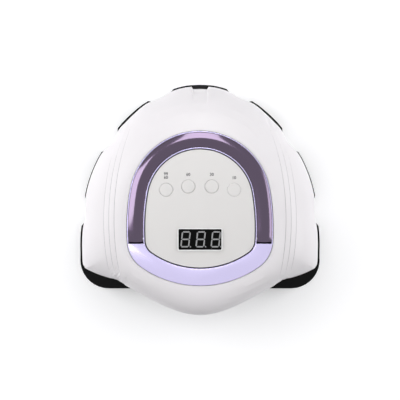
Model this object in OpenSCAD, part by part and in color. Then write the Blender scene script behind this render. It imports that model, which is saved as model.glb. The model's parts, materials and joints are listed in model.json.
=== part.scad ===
// Nail lamp with a lobed base, a domed shell and a folding carry handle.
// Millimetres. The origin is on the table under the middle of the lamp. The front, where the
// hand goes in, faces -Y. Angles of the plan run from the front (0) by the side (90) to the back (180).

/* [Body] */
// Width over the side lobes of the base
body_w = 234; // [228:1:242]
// Depth from the tip of the visor to the back lobe
body_d = 220; // [214:1:228]
// Height of the black base
base_h = 22; // [20.5:0.5:24]
// Height of the lower edge of the visor at its tip
visor_h = 60; // [58:0.5:63]
// Height at which the dome meets the upright skirt
skirt_h = 34; // [31:0.5:37]
// Wall of the shell and the base
wall = 2.6; // [2.3:0.1:2.9]
// How far the base lobes stand out from the skirt
lobe_step = 3.9; // [3.4:0.1:4.4]
// How far the tip of the visor stands out in front of the base
visor_reach = 21; // [19:0.5:23]
// Radius of the thick front corners of the base
corner_r = 28; // [25:1:31]
// Drop of each shoulder step of the shell
shoulder_step = 0.65; // [0.5:0.05:0.8]
// Open seam between the large mouldings
seam = 0.3; // [0.2:0.05:0.4]
// Open seam between the shell and the ring
ring_seam = 0.5; // [0.4:0.05:0.6]

/* [Trim ring] */
// Outside width of the ring
ring_w = 132.4; // [130.4:0.4:134.4]
// Width of the band between the shell and the panel
band_w = 15.5; // [15:0.1:16.2]
// Radius of the top arc of the ring
ring_top_r = 64; // [62.5:0.5:65]
// Radius of the side arcs
ring_side_r = 214; // [205:1:225]
// Radius of the lower corners
ring_corner_r = 30; // [28:0.5:32]
// Radius of the bottom arc
ring_bottom_r = 92; // [88:1:98]
// Distance from the middle of the lamp to the lowest point of the ring
ring_front = 81; // [79.5:0.5:82]
// Height of the ring at the middle of the lamp
ring_z = 93; // [91:0.5:95]
// Backward tilt of the ring and the panel
ring_tilt = 6; // [5:0.25:7]
// Depth of the ring under its edge
ring_depth = 7.6; // [7.4:0.1:8.2]
// Thickness of the channel walls beside the handle
rim = 0.8; // [0.7:0.05:1.2]
// Height of the raised lip below the handle
lip_h = 1.2; // [0.8:0.1:1.6]

/* [Handle] */
// Half thickness of the handle, which is the radius of its hinge ends
handle_r = 4; // [3.8:0.05:4.2]
// Height of the handle's crown over the edge of the ring
handle_crown = 2.5; // [2.2:0.1:2.7]
// Free space beside the handle in its channel
handle_gap = 0.4; // [0.3:0.05:0.5]
// Distance from the middle of the lamp to the hinge line
hinge_y = 38.2; // [37.5:0.1:39]
// Radius of the hinge pins
pin_r = 1.5; // [1.3:0.05:1.6]

/* [Panel and buttons] */
// Thickness of the panel
panel_t = 2.4; // [2.2:0.1:2.7]
// Open seam between the panel and the ring
panel_gap = 1.1; // [0.8:0.1:1.4]
// Rise of the panel's crown over its edge
panel_crown = 1.6; // [1.2:0.1:2]
// Radius of the buttons
button_r = 6; // [5.6:0.1:6.3]
// Travel of the buttons
button_travel = 0.7; // [0.5:0.05:0.8]
// Width of the display module
display_w = 38.6; // [37.6:0.2:40]
// Height of the display module
display_h = 18.6; // [18:0.2:19.4]
// Distance from the middle of the panel down to the middle of the display
display_y = 38.4; // [37.4:0.2:39]
// Height of one digit of the display
digit_h = 14.8; // [13.6:0.2:15.2]

/* [Inside] */
// Room between the side wall of the reflector and the side lobe of the base
side_room = 33; // [32:0.5:35]
// Inside height of the reflector
chamber_h = 54; // [52:0.5:56]
// Inside width of the mouth that the hand goes through
mouth_w = 128; // [120:1:132]
// Room between the back wall of the reflector and the back lobe of the base
back_room = 26; // [25:0.5:29]
// Wall of the reflector
foil = 2; // [1.6:0.1:2.2]
// Radius of the lens of one light
led_r = 2.9; // [2.6:0.1:3.1]
// Thickness of the bottom tray
tray_t = 1.6; // [1.2:0.1:1.8]
// Radius of a rubber foot
foot_r = 6.5; // [5.5:0.25:7]
// How far the feet lift the base off the table
foot_h = 1.2; // [1:0.1:1.4]

/* [Hidden] */
$fn = 48;

white = [0.93, 0.92, 0.93];
panel_white = [0.88, 0.87, 0.86];
black = [0.06, 0.06, 0.06];
lilac = [0.8, 0.77, 0.92];
mauve = [0.42, 0.34, 0.47];
silver = [0.78, 0.78, 0.8];
board_green = [0.1, 0.35, 0.22];
steel = [0.6, 0.6, 0.62];

base_front = body_d / 2 - visor_reach;
chamber_back = body_d / 2 - back_room;
chamber_w = body_w - 2 * side_room;

// Plan of the lamp, in polar form about a hub
hub_y = -15;
function ray(a) = [sin(a), -cos(a)];
function hub_point(a, r) = [0, hub_y] + r * ray(a);
function polar(p) = [atan2(p[0], hub_y - p[1]), norm([p[0], p[1] - hub_y])];
function polar_table(points) = [for (p = points) polar(p)];
function mirrored(half) = concat(half, [for (i = [len(half) - 1:-1:0]) [-half[i][0], half[i][1]]]);

// Front edge of the visor: a hyperbola with a rounded tip, which falls away to its sides
visor_slope = 0.6;
visor_round = 20;
visor_side = 78;
visor_step = 6;
visor_drop = 0.0035;
function visor_y(x) =
    -body_d / 2 + sqrt(pow(visor_slope * x, 2) + pow(visor_round, 2)) - visor_round;
function visor_z(x) = visor_h - visor_drop * x * x;

// Corners of the skirt behind the visor, then its angles and radii from the side lobes to the back
skirt_points = [[112.1, -67.2], [113.1, -61.3], [113.1, -51.1], [113.1, -40.9], [112.1, -28.2]];
skirt_polar = [[87, 110.6], [90, 109.8], [93, 109.8], [97, 110.9], [103, 110.5], [108, 110.3],
    [113, 110.1], [118, 110.2], [122, 110.1], [125, 108.6], [128, 107.5], [131, 108.4], [134, 110.7],
    [137, 111.9], [141, 112.7], [145, 113.7], [150, 115.2], [154, 116.4], [156.5, 116.4],
    [158.5, 115.9], [160.5, 115.7], [163, 116.8], [165.5, 118.6], [168, 119.8], [170, 120.3],
    [174, 121], [180, 121.1]];
skirt_shape = concat(skirt_points, [for (p = skirt_polar) hub_point(p[0], p[1])]);
skirt_stretch = [(body_w / 2 - lobe_step) / max([for (p = skirt_shape) p[0]]),
    (body_d / 2 - lobe_step) / max([for (p = skirt_shape) p[1]])];
skirt_table = polar_table(concat([for (x = [0:visor_step:visor_side]) [x, visor_y(x)]],
    [for (p = skirt_shape) [p[0] * skirt_stretch[0], p[1] * skirt_stretch[1]]]));
function skirt_r(a) = lookup(abs(a), skirt_table);
smooth_span = 6;
smooth_step = 5;
function fold_angle(a) = a > 180 ? 360 - a : abs(a);
function smooth_r(a) =
    let (r = [for (k = [-smooth_span:smooth_span]) skirt_r(fold_angle(abs(a) + k * smooth_step / 2))])
    (r * [for (k = r) 1]) / len(r);

// Angles at which each lobe of the base starts and ends
lobes = [[66, 86], [95.8, 124], [133.4, 157.4], [165.4, 180]];
// Share of the lobe step that each of them stands out
lobe_share = [1, 0.75, 1, 1];
// Angle over which the ends of a lobe draw in
lobe_taper = 2.4;
lobe_end = 0.25;
claw_ramp = 1.3;
claw_z = 5;
arch_table = [for (i = [0:len(lobes) - 1]) each [
    if (i > 0) [lobes[i][0] - claw_ramp, claw_z],
    [lobes[i][0], base_h + seam],
    [lobes[i][1], base_h + seam],
    if (i < len(lobes) - 1) [lobes[i][1] + claw_ramp, claw_z]]];
function edge_x(a) = skirt_r(a) * sin(abs(a));
function edge_z(a) = abs(a) < lobes[0][0]
    ? max(base_h + seam, visor_z(edge_x(a)))
    : lookup(abs(a), arch_table);
visor_lip = 4;
function turn_z(a) = max(skirt_h, edge_z(a) + visor_lip);

// The inlet block stands in a notch of the skirt
inlet_w = 13.6;
inlet_h = base_h + 3;
inlet_set_back = 0.6;
inlet_z = 13.4;
inlet_angle = atan2(inlet_w / 2 + seam, body_d / 2 - hub_y);
inlet_edge = 0.1;
function outer_r(a) = skirt_r(a) - (abs(a) > 180 - inlet_angle - inlet_edge ? wall : 0);

// Ring outline: four tangent arcs on each side, in the tilted frame of the ring
function angle_of(v) = atan2(v[1], v[0]);
function circles_meet(p, r, q, s) =
    let (d = norm(q - p), u = (q - p) / d, along = (r * r - s * s + d * d) / (2 * d))
    p + along * u + sqrt(r * r - along * along) * [u[1], -u[0]];
side_c = [ring_w / 2 - ring_side_r, -30];
top_c = [0, side_c[1] + sqrt(pow(ring_side_r - ring_top_r, 2) - pow(side_c[0], 2))];
bottom_c = [0, ring_bottom_r - ring_front];
corner_c = circles_meet(side_c, ring_side_r - ring_corner_r, bottom_c, ring_bottom_r - ring_corner_r);
arc_ends = [-90, angle_of(corner_c - bottom_c), angle_of(corner_c - side_c), angle_of(top_c - side_c), 90];
ring_arcs = [[bottom_c, ring_bottom_r], [corner_c, ring_corner_r], [side_c, ring_side_r],
    [top_c, ring_top_r]];
arc_steps = [9, 9, 5, 16];
function ring_half(inset) = [for (i = [0:3]) for (k = [(i > 0 ? 1 : 0):arc_steps[i]])
    let (b = arc_ends[i] + (arc_ends[i + 1] - arc_ends[i]) * k / arc_steps[i])
    ring_arcs[i][0] + (ring_arcs[i][1] - inset) * [cos(b), sin(b)]];
function ring_point(p) = [p[0], p[1] * cos(ring_tilt) - p[2] * sin(ring_tilt),
    ring_z + p[1] * sin(ring_tilt) + p[2] * cos(ring_tilt)];

ledge_w = 4;
ledge_table = polar_table(ring_half(ledge_w));
well_table = polar_table(ring_half(-ring_seam));
back_table = polar_table(ring_half(-ring_seam - wall));
function ring_row(a, table, z) =
    let (p = hub_point(a, lookup(abs(a), table))) ring_point([p[0], p[1], z]);

// Shoulder steps follow three arcs about one centre on the far side, given from the hub
step_centre = [-184, -7];
step_r = 262;
step_pitch = 5;
step_count = 3;
step_w = 0.0035;
step_cap = 0.95;
step_cap_pitch = 0.013;
step_fade = 0.12;
tooth_fade = 0.45;
function step_at(a, k) =
    let (along = ray(abs(a)) * step_centre, r = step_r + k * step_pitch)
    along + sqrt(along * along - step_centre * step_centre + r * r);
function dome_r(a, to_r, t) = smooth_r(a) + (to_r - smooth_r(a)) * t * t;
function step_place(a, d, r0, r1, t, turns) =
    turns == 0 ? t : step_place(a, d, r0, r1, (d - r0) / (dome_r(a, r1, min(t, 1)) - r0), turns - 1);
function step_raw(a, k) = step_place(a, step_at(a, k), lookup(abs(a), well_table), outer_r(a), 0.5, 4);
function step_end(k) = step_cap + step_cap_pitch * k;
function step_t(a, k) = min(step_raw(a, k), step_end(k));
function clamp(x) = max(0, min(1, x));
// At the front each step runs out over the edge of the visor as a small tooth; at the back it fades
function step_share(a, k) =
    abs(a) < 90 ? (step_raw(a, k) < 1 ? 1 : 0) : clamp((step_cap - step_raw(a, k)) / step_fade);
function tooth(a) = abs(a) > 90 ? 0 : shoulder_step
    * ([for (k = [0:step_count - 1]) step_share(a, k) * clamp(1 - (1 - step_raw(a, k)) / tooth_fade)]
        * [for (k = [0:step_count - 1]) 1]);
function crossing(k, low, high, turns) = let (m = (low + high) / 2)
    turns == 0 ? m : step_raw(m, k) > 1 ? crossing(k, m, high, turns - 1) : crossing(k, low, m, turns - 1);
crossings = [for (k = [0:step_count - 1]) crossing(k, 40, 66, 12)];

// Columns of the shell, closer together at the ends of the claws
crossing_gap = 0.2;
breaks = concat([0, 40], [for (c = crossings) each [c - crossing_gap, c + crossing_gap]],
    [for (i = [0:len(lobes) - 1]) each [
    if (i > 0) lobes[i][0] - claw_ramp,
    lobes[i][0],
    if (i < len(lobes) - 1) lobes[i][1],
    if (i < len(lobes) - 1) lobes[i][1] + claw_ramp]],
    [180 - inlet_angle - 0.6, 180 - inlet_angle, 180]);
column_step = 3.4;
fine_step = 1.9;
function fine(a) = (a > 39 && a < 70) || (a > 128 && a < 152);
half_columns = [for (i = [0:len(breaks) - 2])
    let (n = ceil((breaks[i + 1] - breaks[i]) / (fine(breaks[i]) ? fine_step : column_step)))
    for (k = [0:n - 1]) breaks[i] + (breaks[i + 1] - breaks[i]) * k / n];
columns = concat(half_columns, [180], [for (i = [len(half_columns) - 1:-1:1]) -half_columns[i]]);

// Cross-section of the dome from the ring to the skirt
dome_power = 2.2;
function dome_h(t) = pow(max(0, 1 - pow(t, dome_power)), 1 / dome_power);
function dome_point(a, from, to_r, to_z, t, drop) =
    let (to = hub_point(a, dome_r(a, to_r, t)), out = pow(t, 4), in = drop * out * ray(a))
    [from[0] + (to[0] - from[0]) * t - in[0], from[1] + (to[1] - from[1]) * t - in[1],
        to_z + (from[2] - to_z) * dome_h(t) - drop * (1 - out)];
inner_ts = [0.2, 0.4, 0.6, 0.78, 0.91];
outer_ts = [0.22, 0.42, 0.6, 0.75, 0.87, 0.95];
inside_ts = [0.3, 0.55, 0.75, 0.9];
function outer_rows(a) =
    let (g = [for (k = [0:step_count - 1]) step_t(a, k)],
        f = [for (k = [0:step_count - 1]) shoulder_step * step_share(a, k)],
        d = [0, f[0], f[0] + f[1], f[0] + f[1] + f[2]])
    concat([for (k = inner_ts) [k * (g[0] - step_w), 0]],
        [for (k = [0:step_count - 1]) each [[g[k] - step_w, d[k]], [g[k] + step_w, d[k + 1]]]],
        [for (k = outer_ts) [g[2] + step_w + (1 - g[2] - step_w) * k,
            d[step_count] * (1 - k) + tooth(a) * k]]);
function shell_column(a) =
    let (well = ring_row(a, well_table, 0), z = turn_z(a), r = outer_r(a),
        under = ring_row(a, back_table, -wall), skirt = hub_point(a, r - tooth(a)),
        inner = hub_point(a, r - wall), sink = step_count * shoulder_step / 2)
    concat([ring_row(a, ledge_table, -ring_depth - wall), ring_row(a, ledge_table, -ring_depth),
            ring_row(a, well_table, -ring_depth), well],
        [for (k = outer_rows(a)) dome_point(a, well, r, z, k[0], k[1])],
        [[skirt[0], skirt[1], z], [skirt[0], skirt[1], edge_z(a)], [inner[0], inner[1], edge_z(a)],
            [inner[0], inner[1], z]],
        [for (i = [len(inside_ts) - 1:-1:0])
            dome_point(a, under, r - wall, z, inside_ts[i],
                sink * clamp((1 - step_raw(a, 1)) / tooth_fade))],
        [under, ring_row(a, back_table, -ring_depth - wall)]);

// A solid from closed loops of points, joined in order; a ring of loops closes on itself
function loop_faces(n, m, last) = [for (i = [0:last]) for (k = [0:m - 1])
    let (a = i * m + k, b = i * m + (k + 1) % m, c = (i + 1) % n * m + k, d = (i + 1) % n * m + (k + 1) % m)
    each [[a, d, b], [a, c, d]]];
module loop_ring(loops)
    polyhedron([for (l = loops) each l], loop_faces(len(loops), len(loops[0]), len(loops) - 1));
module loop_strip(loops) {
    m = len(loops[0]);
    n = len(loops);
    polyhedron([for (l = loops) each l], concat(loop_faces(n, m, n - 2),
        [[for (k = [0:m - 1]) k], [for (k = [m - 1:-1:0]) (n - 1) * m + k]]));
}

// Bosses of the shell, at the middle of the side lobes, that take the screws of the base
boss_angles = [76, 109, 147];
vent_angles = [76, 109, 145];
boss_r = 3.4;
boss_inset = 5.4;
boss_rise = 5;
boss_top = skirt_h + boss_rise;
screw_r = 1.4;
screw_gap = 0.05;
screw_room = 2;
// Overshoot of cuts past the faces that they open
cut = 1;
flange_z = 3.3;
flange_t = 2.4;
screw_l = 16;
function boss_at(a) = hub_point(a, skirt_r(a) - boss_inset);
module at_bosses() {
    for (a = boss_angles)
        for (s = [-1, 1])
            translate([s * boss_at(a)[0], boss_at(a)[1], 0])
                children();
}

module top_shell() color(white) {
    difference() {
        union() {
            loop_ring([for (a = columns) shell_column(a)]);
            at_bosses()
                translate([0, 0, flange_z + flange_t])
                    cylinder(r = boss_r, h = boss_top - flange_z - flange_t);
        }
        at_bosses()
            translate([0, 0, flange_z])
                cylinder(r = screw_r + screw_gap, h = screw_l + screw_room);
    }
}

// Outline of the base: lobes outside the skirt, and recesses behind the claws
claw_clear = wall + 2 * seam;
recess_ramp = 1.6 * claw_ramp;
recess_steps = 8;
lobe_steps = 6;
corner_turn = 10;
// Turn in degrees that keeps the ends of a lobe apart by each millimetre of inset
inset_turn = 0.5;
function lobe_row(i, e) =
    let (from = lobes[i][0] + (i > 0 ? lobe_taper + e : 0),
        to = lobes[i][1] - (i < len(lobes) - 1 ? lobe_taper + e : 0))
    concat(i > 0 ? [[from - lobe_taper, lobe_end]] : [],
        [for (k = [(i > 0 ? 0 : 1):lobe_steps]) [from + (to - from) * k / lobe_steps, 1]],
        i < len(lobes) - 1 ? [[to + lobe_taper, lobe_end]] : []);
function base_half(inset) = concat(
    [[0, -base_front + inset]],
    [for (b = [-90:corner_turn:0]) [body_w / 2 - corner_r, corner_r - base_front]
        + (corner_r - inset) * [cos(b), sin(b)]],
    [for (i = [0:len(lobes) - 1]) each concat(
        [for (p = lobe_row(i, inset * inset_turn))
            hub_point(p[0], skirt_r(p[0]) + lobe_step * lobe_share[i] * p[1] - inset)],
        i == len(lobes) - 1 ? [] : [for (k = [0:recess_steps])
            let (e = inset * inset_turn + recess_ramp, from = lobes[i][1] - e, to = lobes[i + 1][0] + e,
                a = from + (to - from) * k / recess_steps)
            hub_point(a, skirt_r(a) - claw_clear - inset)])]);
module base_plan(inset = 0) polygon(mirrored(base_half(inset)));

// The chamber for the hand: three outlines that meet, grown by the wall for the outside
mouth_depth = 16;
shoulder_depth = 14;
chamber_foot = 20;
chamber_front = base_front - mouth_depth;
chamber_shoulder = chamber_front - shoulder_depth;
mouth_side = mouth_w / 2 + foil + seam;
// The side walls lean in by this much up to this far under the roof, and then turn into it
side_lean = 18;
eaves = 10;
roof_in = 34;
// Corners of the plan, as distances in from the side wall and from the back wall
chamber_corners = [[0, 74], [14, 40], [44, 8]];
back_wall_w = 36;
// The back wall stands up to this much under its foot, and then turns into the roof
back_foot = 2;
back_eaves = 12;
roof_back = 36;
function chamber_face(g) =
    let (side = chamber_w / 2 + g, high = chamber_h - eaves + g / 3,
        half = [[side, 0], [side, chamber_foot + g / 3], [side - side_lean, high],
            [chamber_w / 2 - roof_in + g / 2, chamber_h + g]])
    concat([for (p = half) [-p[0], p[1]]], [for (k = [len(half) - 1:-1:0]) half[k]]);
function chamber_corner(k, in, back) =
    [chamber_w / 2 - chamber_corners[k][0] + in, chamber_back - chamber_corners[k][1] + back];
function chamber_plan(g) = mirrored([[0, -chamber_front], [mouth_w / 2 + g, -chamber_front],
    [mouth_w / 2 + g, -chamber_shoulder - g], [chamber_w / 2 + g, -chamber_shoulder - g],
    chamber_corner(0, g, 0), chamber_corner(1, g, 0), chamber_corner(2, g * 0.7, g * 0.8),
    [back_wall_w / 2 + g / 3, chamber_back + g], [0, chamber_back + g]]);
function chamber_side(g) = [[-chamber_front - cut, 0], [-chamber_front - cut, chamber_h + g],
    [chamber_back - roof_back + g / 2, chamber_h + g],
    [chamber_back - back_eaves + g * 0.8, chamber_h - back_eaves + g * 0.8],
    [chamber_back + g, chamber_foot - back_foot + g / 2], [chamber_back + g, 0]];
module chamber(g, z0) {
    intersection() {
        translate([0, body_d, 0])
            rotate([90, 0, 0])
                linear_extrude(2 * body_d)
                    polygon(chamber_face(g));
        translate([0, 0, z0])
            linear_extrude(2 * chamber_h)
                polygon(chamber_plan(g));
        translate([-body_w, 0, 0])
            rotate([90, 0, 90])
                linear_extrude(2 * body_w)
                    polygon(chamber_side(g));
    }
}

foot_angle = 139;
foot_inset = 6;
foot_points = [[body_w / 2 - corner_r / 2, -base_front + 3 * corner_r / 4],
    hub_point(foot_angle, skirt_r(foot_angle) - foot_inset)];
foot_t = 3;
module at_feet() {
    for (p = foot_points)
        for (s = [-1, 1])
            translate([s * p[0], p[1], 0])
                children();
}
tray_gap = 0.4;
magnet_r = 2.5;
magnet_t = 2;
magnet_rim = 0.8;
magnet_out = foil + seam + magnet_rim + magnet_r;
tray_side = magnet_out + magnet_r + magnet_rim;
tray_set_back = 3;
tray_front = base_front - tray_set_back;
// Corners of the tray behind its straight sides, given like those of the chamber
tray_corners = [[12, 37], [40, 3]];
tray_shoulder = 76;
tray_back_w = 46;
function tray_plan(g, front) = mirrored([[0, -front], [chamber_w / 2 + tray_side + g, -front],
    [chamber_w / 2 + tray_side + g, chamber_back - tray_shoulder],
    [chamber_w / 2 - tray_corners[0][0] + g, chamber_back - tray_corners[0][1]],
    [chamber_w / 2 - tray_corners[1][0] + g, chamber_back - tray_corners[1][1] + g],
    [tray_back_w / 2 + g, chamber_back + tray_side + g], [0, chamber_back + tray_side + g]]);
magnet_x = chamber_w / 2 + magnet_out;
magnet_points = [[magnet_x, -base_front / 2], [magnet_x, 0], [back_wall_w / 2, chamber_back + magnet_out]];
magnet_gap = 0.1;
foot_gap = 0.1;
module at_magnets() {
    for (p = magnet_points)
        for (s = [-1, 1])
            translate([s * p[0], p[1], 0])
                children();
}
vent_count = 5;
vent_step = 1.8;
vent_w = 1.4;
vent_z = [8, 17];
head_r = 2.8;
head_h = 1.8;
head_rim = 1.6;
screw_clear = 0.3;
corner_back = 4;
inlet_root = 16;
inlet_foot = 14;
pocket_front = 5;
mouth_cut = [10, 30];

module base_frame() color(black) {
    difference() {
        union() {
            translate([0, 0, foot_h])
                linear_extrude(base_h - foot_h)
                    difference() {
                        base_plan();
                        base_plan(wall);
                    }
            translate([0, 0, flange_z])
                linear_extrude(flange_t)
                    base_plan(wall / 2);
            // Solid front corners beside the mouth
            translate([0, 0, flange_z])
                linear_extrude(base_h - flange_z)
                    intersection() {
                        base_plan(wall / 2);
                        translate([-body_w / 2, -base_front])
                            square([body_w, base_front - chamber_shoulder + corner_back]);
                    }
            translate([-inlet_w / 2, body_d / 2 - inlet_root, foot_h])
                cube([inlet_w, inlet_foot, base_h - foot_h - seam]);
            translate([-inlet_w / 2, body_d / 2 - wall - lobe_step + seam, foot_h])
                cube([inlet_w, wall + lobe_step - seam - inlet_set_back, inlet_h - foot_h]);
            at_feet()
                translate([0, 0, foot_h])
                    cylinder(r = foot_r + wall, h = flange_z + flange_t - foot_h);
            at_bosses()
                translate([0, 0, foot_h])
                    cylinder(r = head_r + head_rim, h = flange_z + flange_t - foot_h);
        }
        translate([0, 0, -cut])
            linear_extrude(base_h + 2 * cut)
                polygon(chamber_plan(foil + seam));
        translate([-mouth_side, -base_front - mouth_cut[0], -cut])
            cube([2 * mouth_side, mouth_cut[0] + mouth_cut[1], 2 * base_h]);
        translate([0, 0, -cut])
            linear_extrude(flange_z + cut)
                difference() {
                    polygon(tray_plan(tray_gap, base_front + pocket_front));
                    at_feet() circle(r = foot_r + wall);
                }
        at_feet()
            translate([0, 0, foot_h - cut])
                cylinder(r = foot_r, h = foot_t + cut - foot_h);
        at_bosses() {
            translate([0, 0, foot_h - cut])
                cylinder(r = screw_r + screw_clear, h = 2 * (flange_z + flange_t));
            translate([0, 0, foot_h - cut])
                cylinder(r = head_r + screw_clear, h = head_h + cut);
        }
        at_magnets()
            translate([0, 0, flange_z - cut])
                cylinder(r = magnet_r + magnet_gap, h = magnet_t + cut);
        // Power inlet and the space for its jack
        translate([0, body_d / 2 - jack_l, inlet_z])
            cube([jack_w + 2 * jack_gap, 2 * (jack_l - jack_collar_l), jack_w + 2 * jack_gap], center = true);
        translate([0, body_d / 2 - jack_l, inlet_z])
            rotate([-90, 0, 0])
                cylinder(r = jack_collar_r + jack_gap / 2, h = jack_l + cut);
        // Cooling slots in the side lobes
        for (a = vent_angles)
            for (s = [-1, 1])
                for (k = [0:vent_count - 1])
                    let (b = a + (k - (vent_count - 1) / 2) * vent_step, p = hub_point(b, skirt_r(b)))
                    translate([s * p[0], p[1], (vent_z[0] + vent_z[1]) / 2])
                        rotate([0, 0, s * (b - 90)])
                            cube([3 * wall, vent_w, vent_z[1] - vent_z[0]], center = true);
    }
}

// Black frame round the mouth, under the visor
fascia_inset = 5;
arch_h = 50;
arch_power = 2.4;
arch_end = 58;
arch_columns = 30;
fascia_t = wall - 0.2;
hood_rise = wall + 1;
hood_side = 3;
hood_gap = 1;
function arch_z(x) = base_h + (arch_h - base_h)
    * pow(max(0, 1 - pow(abs(x) / mouth_side, arch_power)), 1 / arch_power);
function arch_point(a, r, up) =
    let (p = hub_point(a, r)) [p[0], p[1], arch_z(p[0]) + up];
function hood_point(a, r) =
    let (p = hub_point(a, r)) [p[0], p[1], max(arch_z(p[0]) + hood_rise,
        abs(p[0]) < mouth_side + hood_side ? chamber_h + foil + hood_gap : 0)];
function arch_top(a, r) =
    let (p = hub_point(a, r)) [p[0], p[1], edge_z(a) - seam];
function arch_column(a) =
    let (r = skirt_r(a) - fascia_inset, t = fascia_t,
        back = min(r - 2 * t - 2 * seam, (chamber_front + seam + hub_y) / cos(a)))
    [arch_top(a, r), arch_point(a, r, 0), arch_point(a, back, 0), hood_point(a, back),
        hood_point(a, back + t), arch_point(a, back + t, t), arch_point(a, r - t, t),
        arch_top(a, r - t)];
sensor_reach = 3;
sensor_y = -base_front - sensor_reach;
sensor_r = 2.4;
sensor_w = 9;
sensor_gap = 0.1;
sensor_sink = 0.2;
sensor_board = [sensor_w + 8, 8, 4];
sensor_board_z = arch_h + wall + 2;
module opening_frame() color(black) {
    difference() {
        loop_strip([for (k = [-arch_columns:arch_columns]) arch_column(arch_end * k / arch_columns)]);
        for (s = [-1, 1])
            translate([s * sensor_w / 2, sensor_y, arch_h - 2 * cut])
                cylinder(r = sensor_r + sensor_gap, h = 6 * cut);
    }
}

module motion_sensor() color(black) {
    translate([0, sensor_y, sensor_board_z])
        cube(sensor_board, center = true);
    for (s = [-1, 1])
        translate([s * sensor_w / 2, sensor_y, arch_h - sensor_sink]) {
            cylinder(r = sensor_r, h = hood_rise);
            sphere(r = sensor_r);
        }
}

// Placing in the tilted frame of the ring
module ring_frame() {
    translate([0, 0, ring_z])
        rotate([ring_tilt, 0, 0])
            children();
}

module both_sides() {
    children();
    mirror([1, 0, 0])
        children();
}

floor_t = 1.6;
flange_w = 3;
seat_gap = 0.4;
panel_seat = panel_t + seat_gap;
channel_w = band_w - 2 * rim;
rim_h = 0.5;
part_y = hinge_y + handle_r + seam;
lip_bevel = 0.7;
lip_wall = 1.5 * rim;
// The hinge pins stop this far from the faces of the ring's outer wall
pin_end = 0.2 * rim;
// The band between two outlines that follow the ring, the first one further out
module band(outer, inner, low, high) {
    translate([0, 0, low])
        linear_extrude(high - low)
            difference() {
                polygon(mirrored(ring_half(outer)));
                polygon(mirrored(ring_half(inner)));
            }
}
// The part of a child in front of a line across the ring
module in_front(y) {
    intersection() {
        children();
        translate([-ring_w, -y - 2 * ring_w, -ring_w / 2])
            cube([2 * ring_w, 2 * ring_w, ring_w]);
    }
}
module trim_ring() color(lilac) ring_frame() {
    difference() {
        union() {
            band(0, band_w, -ring_depth, rim_h);
            band(band_w - rim, band_w + flange_w, -panel_seat - floor_t, -panel_seat);
            in_front(part_y) {
                band(0, band_w, -ring_depth, lip_h - lip_bevel);
                band(lip_bevel, band_w - lip_bevel, 0, lip_h);
            }
        }
        difference() {
            band(rim, band_w - rim, floor_t - ring_depth, lip_h + cut);
            in_front(part_y)
                band(-cut, band_w + cut, -2 * ring_depth, lip_h + 2 * cut);
        }
        in_front(part_y + lip_wall)
            band(rim, band_w - rim, -ring_depth - cut, lip_h - floor_t);
        both_sides()
            translate([0, -hinge_y, hinge_z])
                rotate([0, 90, 0])
                    cylinder(r = pin_r + pin_fit, h = ring_w / 2 - 2 * pin_end);
    }
}

// Carry handle: one crowned section along the channel, with a full round at each hinge end.
// A station holds the middle of the section, the way it faces in plan and its share of the height.
hinge_z = handle_crown - handle_r;
pin_fit = 0.05;
handle_w = channel_w - 2 * handle_gap;
arm_angle = asin((-hinge_y - side_c[1]) / (ring_side_r - band_w / 2));
arm_x = side_c[0] + (ring_side_r - band_w / 2) * cos(arm_angle);
edge_drop = 1.8;
crown_steps = 8;
arm_round = [80, 55, 30];
handle_section = concat([[-handle_w / 2, -handle_r]],
    [for (k = [-crown_steps / 2:crown_steps / 2])
        let (u = 2 * k / crown_steps) [u * handle_w / 2, handle_r - edge_drop * u * u]],
    [[handle_w / 2, -handle_r]]);
arm_half = concat(
    [for (f = arm_round) [[arm_x, -hinge_y - handle_r * sin(f)], 0, cos(f)]],
    [for (k = [0:arc_steps[2]])
        let (b = arm_angle + (arc_ends[3] - arm_angle) * k / arc_steps[2])
        [side_c + (ring_side_r - band_w / 2) * [cos(b), sin(b)], b, 1]],
    [for (k = [1:arc_steps[3]])
        let (b = arc_ends[3] + (90 - arc_ends[3]) * k / arc_steps[3])
        [top_c + (ring_top_r - band_w / 2) * [cos(b), sin(b)], b, 1]]);
stations = concat(arm_half, [for (i = [len(arm_half) - 2:-1:0]) let (h = arm_half[i])
    [[-h[0][0], h[0][1]], 180 - h[1], h[2]]]);
module carry_handle() color(mauve) ring_frame() {
    difference() {
        loop_strip([for (h = stations) [for (p = handle_section)
            [h[0][0] + p[0] * cos(h[1]), h[0][1] + p[0] * sin(h[1]), hinge_z + p[1] * h[2]]]]);
        both_sides()
            translate([0, -hinge_y, hinge_z])
                rotate([0, 90, 0])
                    cylinder(r = pin_r + pin_fit, h = ring_w / 2);
    }
}
module hinge_pins() color(steel) ring_frame() {
    both_sides()
        translate([ring_w / 2 - band_w + pin_end, -hinge_y, hinge_z])
            rotate([0, 90, 0])
                cylinder(r = pin_r, h = band_w - 4 * pin_end);
}

// Panel and what hangs under it
panel_mid = 11;
panel_r = ring_w / 2 - band_w;
sphere_r = (panel_r * panel_r + panel_crown * panel_crown) / (2 * panel_crown);
function crown_z(x, y) = panel_crown - (x * x + pow(y + panel_mid, 2)) / (2 * sphere_r);
button_points = [[-30.7, 6.8], [-10.6, 9.8], [10.6, 9.8], [30.7, 6.8]];
button_gap = 0.1;
dish_low = 0.1;
dish_high = 0.4;
panel_skirt_t = 1.6;
panel_skirt_gap = 0.05;
panel_fn = 360;
board_z = -7.4;
board_t = 1.6;
board_screw_points = [[-33, -12], [33, -12], [-27, 24], [27, 24]];
board_screw_r = 1.1;
board_boss_r = 2.8;
board_bore_l = 5.4;
board_screw_l = 5;
board_head_h = 1.4;
board_hole_gap = 0.2;
module panel_plan(inset) polygon(mirrored(ring_half(band_w + inset)));
display_fit = 0.2;
bezel_w = 0.9;
bezel_rise = 0.25;
bezel_top = crown_z(0, display_h / 2 - display_y) + bezel_rise;
window_r = 1;
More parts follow.
